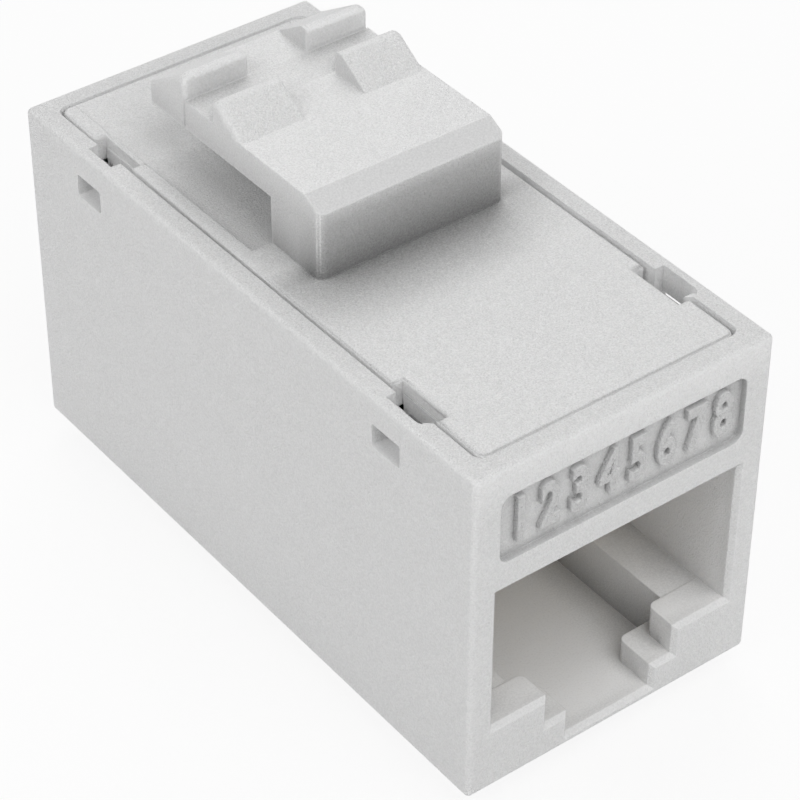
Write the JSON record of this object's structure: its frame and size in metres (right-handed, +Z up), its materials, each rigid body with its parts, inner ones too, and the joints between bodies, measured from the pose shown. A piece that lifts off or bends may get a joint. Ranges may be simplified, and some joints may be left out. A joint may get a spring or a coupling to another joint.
{
  "type": "in-line keystone jack",
  "caption": "White in-line keystone jack: a long box with a modular port at each end, a clip-on top cover and a springy latch that grips a panel.",
  "frame": {"origin": "on the underside, under the middle of the box", "axes": "+Z up, latch on top; -Y out of the front port, the one under the label panel; +X to the right seen from the front"},
  "size_m": [0.0144, 0.0304, 0.0217],
  "materials": {
    "housing_plastic": "moulded white, fine matte",
    "cover_plastic": "moulded white, spark-textured top faces",
    "carrier_plastic": "moulded off-white, smooth",
    "board": "green solder mask",
    "contact_gilt": "gold-plated spring wire"
  },
  "bodies": {
    "jack": {"housing": "housing_plastic", "top_cover": "cover_plastic", "circuit_board": "board", "front_contact_carrier": "carrier_plastic", "rear_contact_carrier": "carrier_plastic"},
    "latch": {"latch_arm": "cover_plastic"},
    "front_springs": {"front_contact_1": "contact_gilt", "front_contact_2": "contact_gilt", "front_contact_3": "contact_gilt", "front_contact_4": "contact_gilt", "front_contact_5": "contact_gilt", "front_contact_6": "contact_gilt", "front_contact_7": "contact_gilt", "front_contact_8": "contact_gilt"},
    "rear_springs": {"rear_contact_1": "contact_gilt", "rear_contact_2": "contact_gilt", "rear_contact_3": "contact_gilt", "rear_contact_4": "contact_gilt", "rear_contact_5": "contact_gilt", "rear_contact_6": "contact_gilt", "rear_contact_7": "contact_gilt", "rear_contact_8": "contact_gilt"}
  },
  "joints": [
    {"name": "latch_flex", "type": "hinge", "parent": "jack", "child": "latch", "pos_m": [0, 0.00112, 0.0184], "axis": [-1, 0, 0], "range_deg": [0, 15.5], "stiffness_Nm_per_rad": 0.3},
    {"name": "front_spring_lift", "type": "hinge", "parent": "jack", "child": "front_springs", "pos_m": [0, -0.01115, 0.0127], "axis": [1, 0, 0], "range_deg": [0, 6], "stiffness_Nm_per_rad": 0.6},
    {"name": "rear_spring_lift", "type": "hinge", "parent": "jack", "child": "rear_springs", "pos_m": [0, 0.01115, 0.0127], "axis": [-1, 0, 0], "range_deg": [0, 6], "stiffness_Nm_per_rad": 0.6}
  ]
}
